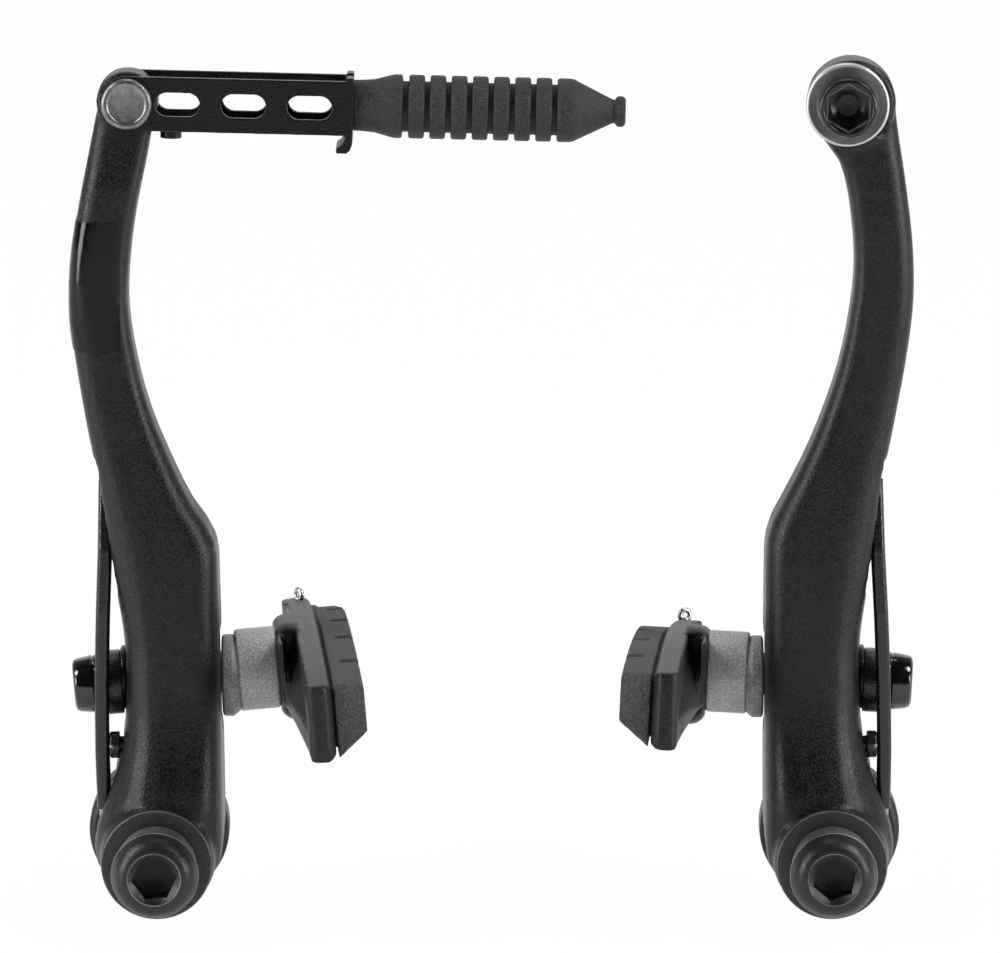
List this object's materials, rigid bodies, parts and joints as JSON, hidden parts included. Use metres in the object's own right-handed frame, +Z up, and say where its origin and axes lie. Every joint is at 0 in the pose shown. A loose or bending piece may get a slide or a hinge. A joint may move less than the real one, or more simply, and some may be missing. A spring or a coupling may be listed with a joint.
{
  "type": "v-brake",
  "caption": "Pair of linear-pull rim brake arms with pivot bolts, return springs, cable link, rubber boot and height-adjustable brake shoes.",
  "frame": {"origin": "midway between the two pivot axes, in the arms' middle plane", "axes": "+X from the left arm to the right arm as seen from the front, +Y along the pivot axes towards the frame, +Z up along the arms"},
  "size_m": [0.1193, 0.0705, 0.1227],
  "materials": {
    "arm_paint": "satin",
    "bush_steel": "satin",
    "black_steel": "gloss",
    "grey_steel": "satin",
    "spring_steel": "polished",
    "sleeve_plastic": "gloss",
    "housing_plastic": "satin",
    "plate_steel": "satin",
    "holder_alloy": "satin",
    "pad_rubber": "matt",
    "pin_steel": "polished",
    "dome_steel": "satin",
    "cup_steel": "satin",
    "link_steel": "semi-gloss",
    "rivet_steel": "brushed",
    "boot_rubber": "matt",
    "bright_steel": "polished"
  },
  "bodies": {
    "pivots": {"left_pivot_bush": "bush_steel", "left_mount_bolt": "black_steel", "left_spring_housing": "housing_plastic", "left_stop_plate": "plate_steel", "right_pivot_bush": "bush_steel", "right_mount_bolt": "black_steel", "right_spring_housing": "housing_plastic", "right_stop_plate": "plate_steel"},
    "left_arm": {"left_arm": "arm_paint", "left_dust_ring": "grey_steel", "left_return_spring": "spring_steel", "left_spring_sleeve": "sleeve_plastic", "left_tension_screw": "black_steel"},
    "right_arm": {"right_arm": "arm_paint", "cable_washer": "bright_steel", "cable_bolt": "black_steel", "right_dust_ring": "grey_steel", "right_return_spring": "spring_steel", "right_spring_sleeve": "sleeve_plastic", "right_tension_screw": "black_steel"},
    "link": {"cable_link": "link_steel", "link_rivet": "rivet_steel", "link_peg": "link_steel", "rubber_boot": "boot_rubber"},
    "left_shoe_seat": {"left_inner_dome_washer": "dome_steel", "left_outer_dome_washer": "black_steel"},
    "left_shoe": {"left_pad_holder": "holder_alloy", "left_pad_insert": "pad_rubber", "left_pad_pin": "pin_steel", "left_pad_stud": "plate_steel", "left_inner_cup_washer": "cup_steel", "left_outer_cup_washer": "black_steel", "left_shoe_nut": "black_steel"},
    "right_shoe_seat": {"right_inner_dome_washer": "dome_steel", "right_outer_dome_washer": "black_steel"},
    "right_shoe": {"right_pad_holder": "holder_alloy", "right_pad_insert": "pad_rubber", "right_pad_pin": "pin_steel", "right_pad_stud": "plate_steel", "right_inner_cup_washer": "cup_steel", "right_outer_cup_washer": "black_steel", "right_shoe_nut": "black_steel"}
  },
  "joints": [
    {"name": "left_arm_swing", "type": "hinge", "parent": "pivots", "child": "left_arm", "pos_m": [-0.0474, 0, 0], "axis": [0, -1, 0], "range_deg": [-6, 25], "stiffness_Nm_per_rad": 0.6},
    {"name": "left_shoe_height", "type": "slide", "parent": "left_arm", "child": "left_shoe_seat", "axis": [-0.0192, 0, 0.9998], "range_m": [-0.0038, 0.0038]},
    {"name": "left_shoe_turn", "type": "hinge", "parent": "left_shoe_seat", "child": "left_shoe", "pos_m": [-0.04525, 0.004, 0.02365], "axis": [0.9944, 0.0663, 0.0818], "range_deg": [-20, 20]},
    {"name": "right_arm_swing", "type": "hinge", "parent": "pivots", "child": "right_arm", "pos_m": [0.0474, 0, 0], "axis": [0, 1, 0], "range_deg": [-6, 25], "stiffness_Nm_per_rad": 0.6},
    {"name": "right_shoe_height", "type": "slide", "parent": "right_arm", "child": "right_shoe_seat", "axis": [0, 0, 1], "range_m": [-0.0038, 0.0038]},
    {"name": "right_shoe_turn", "type": "hinge", "parent": "right_shoe_seat", "child": "right_shoe", "pos_m": [0.0448, 0.004, 0.0236], "axis": [-0.9969, 0.0663, 0.0435], "range_deg": [-20, 20]},
    {"name": "link_swing", "type": "hinge", "parent": "left_arm", "child": "link", "pos_m": [-0.05115, 0, 0.10655], "axis": [0, -1, 0], "range_deg": [-10, 75]}
  ]
}
